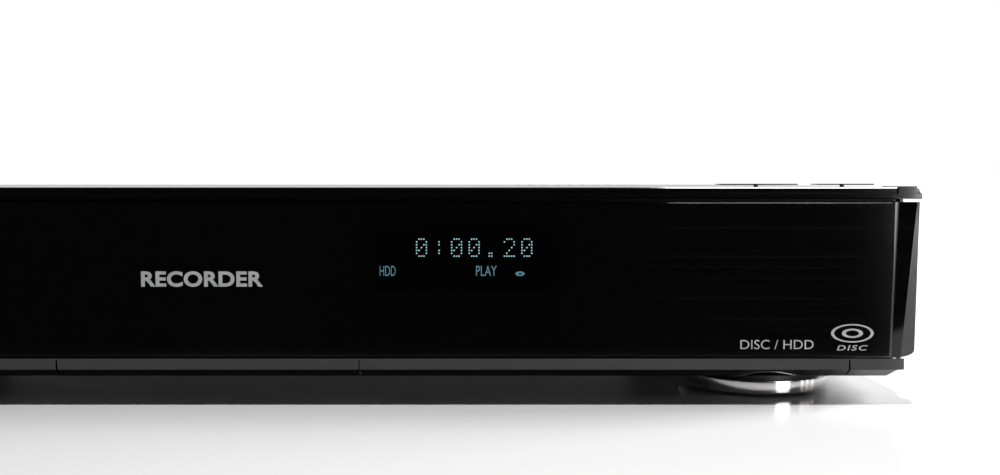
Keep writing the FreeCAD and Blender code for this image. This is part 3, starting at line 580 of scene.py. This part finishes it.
def brick(low, high, bevel=0.0):
    """A block between two corners, with its edges rounded."""
    shape = bmesh.new()
    bmesh.ops.create_cube(shape, size=1)
    size = [b - a for a, b in zip(low, high)]
    middle = [(a + b) / 2 for a, b in zip(low, high)]
    bmesh.ops.scale(shape, vec=size, verts=shape.verts)
    bmesh.ops.translate(shape, vec=middle, verts=shape.verts)
    if bevel:
        bmesh.ops.bevel(shape, geom=shape.edges[:], offset=bevel, segments=2, profile=0.5, affect="EDGES",
                        material=-1)
    return shape


# %% [markdown]
# ## The foot rings
# A foot ring is a turned, plated collar, straight outside with a soft shoulder above and
# below. Turning a closed profile with spin gives an even mesh whose reflections run round it
# cleanly, which the coarser solid does not, so the four new rings stand in for that solid.

# %% Turned foot rings
FEET_APART = 172 * MM
RING_R = (RING_HIGH.y - RING_LOW.y - FEET_APART) / 2
FEET_X = (RING_LOW.x + RING_R, RING_HIGH.x - RING_R)
FEET_Y = (RING_LOW.y + RING_R, RING_HIGH.y - RING_R)
FEET = [(x, y) for x in FEET_X for y in FEET_Y]
BORE = RING_R - 5.2 * MM
FOOT_LOW, FOOT_HIGH = RING_LOW.z, RING_HIGH.z
SHOULDER = [(0.04 * MM, 0.3 * MM), (0.12 * MM, 0.12 * MM), (0.3 * MM, 0.04 * MM), (0.7 * MM, 0)]
ring_line = [(BORE, FOOT_LOW)] + [(RING_R - back, FOOT_LOW + up) for back, up in reversed(SHOULDER)]
ring_line += [(RING_R, FOOT_LOW + 0.6 * MM), (RING_R, FOOT_HIGH - 0.5 * MM)]
ring_line += [(RING_R - back, FOOT_HIGH - up * 0.8) for back, up in SHOULDER] + [(BORE, FOOT_HIGH)]
turned_rings = join([spun(ring_line, (x, y, 0), steps=120) for x, y in FEET])
rings = smooth(piece("foot_ring_set", turned_rings, chrome, "case"), 50)
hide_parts("foot_rings")

# %% [markdown]
# ## The lit display
# The tube shows characters of five by seven round dots, each a phosphor spot behind its
# grid. The words and the disc sign are whole painted segments. All stand a hair in front of
# the tube's face, behind the smoked pane, and glow pale cyan with slightly uneven light.

# %% Glow
def glowing(name, dim, bright, strength):
    f = Finish(name)
    uneven = f.noise(700, 2.0)
    return f.skin(grey(0.02), 0.4 + uneven * 0.1, Emission_Color=f.mix(uneven, dim, bright),
                  Emission_Strength=strength)


dot_glow = glowing("phosphor_dots", (0.34, 0.72, 0.78), (0.62, 0.95, 0.98), 2.1)
word_glow = glowing("phosphor_words", (0.2, 0.5, 0.68), (0.36, 0.72, 0.86), 0.9)
GLYPHS = {
    "0": ("01110", "10001", "10011", "10101", "11001", "10001", "01110"),
    "2": ("01110", "10001", "00001", "00010", "00100", "01000", "11111"),
    ":": ("00000", "00100", "00100", "00000", "00100", "00100", "00000"),
    ".": ("00000", "00000", "00000", "00000", "00000", "01100", "01100"),
}
FACE = TUBE_LOW.y - 0.00006


CELL = 0.00541
PITCH = (0.000752, 0.000876)
DOT = 0.00047


def dots(text, left, top):
    """The lit dots of a line of characters, from its top left corner."""
    whole = bmesh.new()
    for place, letter in enumerate(text):
        for row, line in enumerate(GLYPHS[letter]):
            for column, lit in enumerate(line):
                if lit == "1":
                    at = Vector((left + place * CELL + column * PITCH[0], FACE, top - row * PITCH[1]))
                    turn = Matrix.Translation(at) @ Matrix.Rotation(math.pi / 2, 4, "X")
                    bmesh.ops.create_circle(whole, cap_ends=True, segments=10, radius=DOT / 2, matrix=turn)
    return whole


piece("time_dots", dots("0:00.20", left=0.0633, top=0.0490), dot_glow, "case")

# %% [markdown]
# Lettering starts as a text object, because fonts carry well-drawn outlines. It is turned
# into a mesh, fitted between given edges, and stood upright facing the front.

# %% Lettering
def lettering(name, text, left, right, low, high, y, finish, body, shear=0.0, bold=0.0, spacing=1.0):
    """A word between its left, right, low and high edges, on the upright plane at y."""
    curve = bpy.data.curves.new(name, "FONT")
    curve.body = text
    curve.offset = bold
    curve.shear = shear
    curve.space_character = spacing
    curve.resolution_u = 6
    drawn = bpy.data.objects.new(name, curve)
    bpy.context.collection.objects.link(drawn)
    bpy.context.view_layer.update()
    mesh = bpy.data.meshes.new_from_object(drawn.evaluated_get(bpy.context.evaluated_depsgraph_get()))
    bpy.data.objects.remove(drawn)
    shape = bmesh.new()
    shape.from_mesh(mesh)
    xs = [v.co.x for v in shape.verts]
    ys = [v.co.y for v in shape.verts]
    for v in shape.verts:
        across = (v.co.x - min(xs)) / (max(xs) - min(xs))
        up = (v.co.y - min(ys)) / (max(ys) - min(ys))
        v.co = Vector((left + (right - left) * across, y, low + (high - low) * up))
    return piece(name, shape, finish, body)


lettering("word_disk", "HDD", 0.0519, 0.0568, 0.03763, 0.04072, FACE, word_glow, "case")
lettering("word_play", "PLAY", 0.0816, 0.0880, 0.03763, 0.04078, FACE, word_glow, "case")

# %% [markdown]
# The disc sign is an oval ring. Two rims of points joined face by face give its normal a sure
# direction, toward the front.

# %% Disc sign
def flat_ring(centre, wide, tall, inner, y, steps=48):
    """An upright flat oval ring facing the front, its hole a share of its size."""
    shape = bmesh.new()
    rims = []
    for share in (1.0, inner):
        turns = [math.tau * i / steps for i in range(steps)]
        rims.append([shape.verts.new((centre[0] + wide / 2 * share * math.cos(a), y,
                                      centre[1] + tall / 2 * share * math.sin(a))) for a in turns])
    for i in range(steps):
        after = (i + 1) % steps
        shape.faces.new((rims[0][i], rims[0][after], rims[1][after], rims[1][i]))
    return shape


piece("disc_sign", flat_ring((0.0952, 0.0383), 0.0029, 0.00145, 0.35, FACE), word_glow, "case")

# %% [markdown]
# ## Printed marks
# The front is silk-screened with pale grey ink. The words are plain descriptions of what the
# machine does, and the disc sign is two oval rings, one in the other. The ink is far thinner
# than it can be drawn, so it lies eight thousandths of a millimetre before the pane.

# %% Ink and marks
def inked(name, colour):
    f = Finish(name)
    grain = f.noise(2600, 2.0)
    wear = f.noise(190, 3.0)
    return f.skin(f.mix(grain * 0.5 + wear * 0.3, shade(colour, 0.8), colour),
                  0.5 + grain * 0.15, Normal=f.bump(grain, 0.15, 0.00003))


ink = inked("silver_ink", (0.74, 0.75, 0.76))
INK = PANE_LOW.y - 0.008 * MM
lettering("mark_word", "RECORDER", -0.0185, 0.0180, 0.0352, 0.0399, INK, ink, "flap", bold=0.035,
          spacing=1.05)
lettering("mark_type", "DISC / HDD", 0.1612, 0.1832, 0.0164, 0.0192, INK, ink, "flap")
SIGN = (0.1948, 0.0212)
sign = [flat_ring(SIGN, 0.0128, 0.0056, 0.86, INK), flat_ring(SIGN, 0.0064, 0.0028, 0.62, INK)]
piece("mark_disc", join(sign), ink, "flap")
lettering("mark_disc_word", "DISC", 0.1902, 0.1994, 0.0160, 0.0176, INK, ink, "flap", shear=0.2, bold=0.01,
          spacing=1.2)

# %% [markdown]
# ## Screw recesses
# A machine screw is known by its cross recess. Each head gets two short dark bars, sunk in it
# but for a hair: a painted shade standing for the shadow in the recess. Each pair is turned a
# little differently, as screws are when driven home. Cut slots would need the head's own mesh,
# and from any distance the two look the same.

# %% Cross recesses
# Painted shade: flat near-black bars for the shadow inside each cross recess
recess = moulded("recess_shadow", grey(0.02), 0.7, 900, 0.1)
LEDGE = 0.00003
FACING = {"+Z": Matrix(), "-Z": Matrix.Rotation(math.pi, 4, "X"), "+Y": Matrix.Rotation(-math.pi / 2, 4, "X")}


def cross(at, axis, size, turn):
    """Two crossed bars on a head at a place, facing along an axis."""
    bars = []
    for quarter in (0, math.pi / 2):
        bar = brick((-size, -size * 0.17, -0.0002), (size, size * 0.17, LEDGE))
        bmesh.ops.rotate(bar, cent=(0, 0, 0), matrix=Matrix.Rotation(quarter + turn, 3, "Z"),
                         verts=bar.verts)
        bars.append(bar)
    whole = join(bars)
    bmesh.ops.transform(whole, matrix=Matrix.Translation(at) @ FACING[axis], verts=whole.verts)
    return whole


REAR_HEADS = [(x, 116.1, z) for x in (-208, -60, 40, 208) for z in (14, 60)]
BOARD_HEADS = [(x, y, 19.2) for x, y in ((63, -25), (63, 105), (203, -25), (203, 105), (-201, 62),
                                         (-201, 105), (-69, 62), (-69, 105))]
heads = [(Vector(at) * MM, "+Y") for at in REAR_HEADS]
heads += [(Vector((x, y, SCREW_LOW.z)), "-Z") for x, y in FEET]
heads += [(Vector(at) * MM, "+Z") for at in BOARD_HEADS]
bars = [cross(at, axis, 0.0019, 0.4 + 0.7 * i) for i, (at, axis) in enumerate(heads)]
piece("screw_recess_shade", join(bars), recess, "case")

# %% [markdown]
# ## Sockets at the back
# Phono sockets are told apart by coloured insulators, and aerial sockets are held by a nut.
# Both are turned shapes: a ring set round the shell, and a collar turned in only six steps,
# which makes it a hexagon.

# %% Coloured insulators and aerial nuts
INSULATORS = {"yellow": (0.75, 0.5, 0.02), "white": (0.75, 0.75, 0.72), "red": (0.6, 0.02, 0.015),
              "orange": (0.7, 0.22, 0.02)}
JACKS = ((178.5, 38), (192.5, 38), (178.5, 24), (192.5, 24))
SLEEVE = [(4.75, 0), (6.2, 0), (6.2, 0.5), (5.9, 0.9), (4.9, 0.9)]
BACK = 114.5 * MM
for (tint, colour), (x, z) in zip(INSULATORS.items(), JACKS):
    shape = spun([(r * MM, h * MM) for r, h in SLEEVE], (x * MM, BACK, z * MM), "Y", 48)
    plastic = moulded("insulator_" + tint + "_plastic", colour, 0.35, 900, 0.06)
    smooth(piece("insulator_" + tint, shape, plastic, "case"), 30)

COLLAR = [(5.05, 0.0), (6.1, 0.0), (6.1, 0.8), (5.7, 1.0), (5.05, 1.0)]
nuts = [spun([(r * MM, h * MM) for r, h in COLLAR], (x * MM, BACK, 28 * MM), "Y", 6) for x in (75, 89)]
piece("aerial_nuts", join(nuts), screw_steel, "case")

# %% [markdown]
# ## Small parts on the boards
# Dozens of chip resistors and capacitors give a board its scale. They are tiny bevelled
# blocks set in staggered rows, and none is set where a chip, a socket, a screw or a lead's
# end already stands.

# %% Chip parts
small_finish = moulded("chip_part", (0.16, 0.12, 0.09), 0.4, 1800, 0.1)
BOARD_TOP = corners("main_board")[1].z
TAKEN = [corners(name) for name in ("data_sockets", "optical_socket", "audio_jacks", "tuner_can",
                                    "card_cage")]
CLEAR = {
    "processor": (0.114, 0.016, 0.154, 0.056),
    "memory": (0.158, 0.016, 0.174, 0.05),
    "drive_chip": (0.094, -0.016, 0.11, 0.006),
    "sound_chip": (0.182, 0.008, 0.198, 0.026),
    "clock_chip": (0.102, 0.058, 0.112, 0.068),
    "rear_capacitors": (0.172, 0.055, 0.198, 0.065),
    "front_capacitors": (0.066, -0.026, 0.094, -0.008),
    "rear_lead": (0.06, 0.05, 0.084, 0.066),
    "middle_lead": (0.076, 0.036, 0.084, 0.044),
    "left_screw": (0.058, -0.03, 0.068, -0.02),
    "right_screw": (0.198, -0.03, 0.208, -0.02),
    "rear_screw": (0.198, 0.1, 0.208, 0.11),
}
TAKEN += [(Vector((x0, y0, 0)), Vector((x1, y1, 1))) for x0, y0, x1, y1 in CLEAR.values()]
GAP = 0.002
parts = []
for row in range(18):
    for column in range(26):
        x = 0.064 + column * 0.0055 + (row % 3) * 0.0011
        y = -0.026 + row * 0.0071 + (column % 4) * 0.0009
        free = all(not (a.x - GAP < x < b.x + GAP and a.y - GAP < y < b.y + GAP) for a, b in TAKEN)
        if free and (row * 7 + column * 11) % 5:
            long = (row + column) % 2
            wide, deep = (0.0020, 0.0011) if long else (0.0010, 0.0018)
            parts.append(brick((x, y, BOARD_TOP), (x + wide, y + deep, BOARD_TOP + 0.0007), 0.00012))
piece("chip_parts", join(parts), small_finish, "case")

# %% [markdown]
# ## Floor, light and camera
# The recorder stands on a pale glossy table. A real table ends, and the room before it is
# dark, which is why a black front stays black: so from a hand's breadth in front of the case
# this table is painted near black for mirror rays only, a painted dark reflection of that room.
# Far behind the case it is given a painted glow that rises with distance, standing for a sheet
# of paper curving up into the light.

# %% Table
DARK_REFLECTION_START = FRONT - 0.085
GLOW_RISE = (0.12, 0.6)


def table_finish():
    f = Finish("pale_table")
    y = f.axis("Y")
    cloud = f.noise(5, 3.0)
    # Painted reflection: to mirror rays the table is painted near black in front of this line
    painted_dark_reflection = (y < DARK_REFLECTION_START) * f.node("LightPath", out="Is Glossy Ray")
    pale = f.mix(cloud, grey(0.84), grey(0.88))
    # Painted glow: the table gives off light, rising from none to 0.45 over this stretch behind the case
    haze = f.mix(f.step(y, *GLOW_RISE), grey(0.0), grey(0.45))
    return f.skin(f.mix(painted_dark_reflection, pale, grey(0.008)), 0.13 + cloud * 0.03, Specular_IOR_Level=0.3,
                  Emission_Color=haze, Emission_Strength=1.0)


table = bpy.data.meshes.new("table_top")
shape = bmesh.new()
bmesh.ops.create_grid(shape, x_segments=4, y_segments=4, size=6)
shape.to_mesh(table)
shape.free()
floor = bpy.data.objects.new("table_top", table)
bpy.context.collection.objects.link(floor)
floor.data.materials.append(table_finish())
print("table", [round(side, 2) for side in floor.dimensions[:2]])

# %% [markdown]
# A sun from nearly overhead leaves the front in its own shade and throws a crisp edge on the
# table. A soft panel on the right lifts the chin and the right end. The strips are there for
# the chrome ring and the bend of the pane, which show nothing but what they mirror. No lamp
# is seen itself.

# %% Lights
def lamp(name, kind, place, aim, energy, **settings):
    data = bpy.data.lights.new(name, kind)
    data.energy = energy
    for key, value in settings.items():
        setattr(data, key, value)
    made = bpy.data.objects.new(name, data)
    made.location = place
    made.rotation_euler = (Vector(aim) - Vector(place)).to_track_quat("-Z", "Y").to_euler()
    bpy.context.collection.objects.link(made)
    made.visible_camera = False
    return made


def panel(name, place, aim, energy, wide, tall):
    return lamp(name, "AREA", place, aim, energy, shape="RECTANGLE", size=wide, size_y=tall)


lamp("high_sun", "SUN", (0.06, 0.07, 2.0), (0, 0, 0), 2.5, angle=math.radians(1.2))
fill = panel("right_fill", (0.95, 0.1, 0.5), (0.2, -0.15, 0), 12.0, 0.3, 0.4)
fill.visible_glossy = False
RING_FACE = Vector((RING_HIGH.x - RING_R, RING_LOW.y, 0.0))


def strip(name, degrees, distance, wide, tall, power):
    """An upright strip of light, turned to the right of straight ahead, that only mirrors see."""
    way = Vector((math.sin(math.radians(degrees)), -math.cos(math.radians(degrees)), 0))
    aim = RING_FACE + Vector((0, 0, tall / 2))
    made = panel(name, aim + way * distance, aim, power, wide, tall)
    made.data.color = (1.0, 0.94, 0.93)
    made.visible_diffuse = False


strip("bright_strip", 33, 0.8, 0.28, 0.36, 2.3)
for number, degrees in enumerate((66, 76, 87)):
    strip("thin_strip_%d" % number, degrees, 0.85, 0.05, 0.3, 0.14)
over = panel("overhead_panel", (0.62, 0.15, 1.56), (0.62, 0.15, 0), 32.0, 0.5, 0.7)
over.visible_diffuse = False

# %% [markdown]
# The room is white wherever it is looked at straight. For mirrors and for soft light it is
# bright behind and above to the right, and nearly dark in front, so that the black gloss has
# something to reflect at its edges and nothing on its face.

# %% Room
world = bpy.data.worlds.new("room")
bpy.context.scene.world = world
air = Tree(world)
ways = air.node("TexCoord", out="Generated")
across, depth, height = [air.node("SeparateXYZ", out=letter, Vector=ways) for letter in "XYZ"]
behind = air.step(depth, 0.0, 0.5) * 0.35 + air.step(depth, 0.62, 0.88) * 0.65
above = air.step(across, 0.1, 0.3) * air.step(height, 0.25, 0.6)
glow = 0.02 + behind.math("MAXIMUM", above * 0.6)
straight = air.node("LightPath", out="Is Camera Ray")
soft = air.node("LightPath", out="Is Diffuse Ray")
room = straight + (1.0 - straight) * glow * (1.0 - soft * 0.8)
air.close("World", air.node("Background", Color=rgba(grey(1.0)), Strength=room))
bpy.context.scene.view_settings.view_transform = "Standard"
print("room light from", world.name)

# %% [markdown]
# The camera stands a forearm's length in front, just above lid height, and tips down three
# degrees, so that the lid is seen almost edge-on and the front stays nearly square. The lens
# takes in SPAN metres of the front from there.

# %% Camera
REACH = 0.330
SPAN = 1 / 3.35
TIP = math.radians(2.93)
AIM = Vector((0.089, FRONT, 0.050))
camera = bpy.data.objects.new("camera", bpy.data.cameras.new("camera"))
camera.location = AIM + Vector((0, -REACH, REACH * math.tan(TIP)))
camera.rotation_euler = (math.pi / 2 - TIP, 0, 0)
camera.data.lens = camera.data.sensor_width * REACH / SPAN
camera.data.clip_start = 0.01
bpy.context.collection.objects.link(camera)
bpy.context.scene.camera = camera
print("camera at", [round(v, 4) for v in camera.location], "lens", round(camera.data.lens, 1))
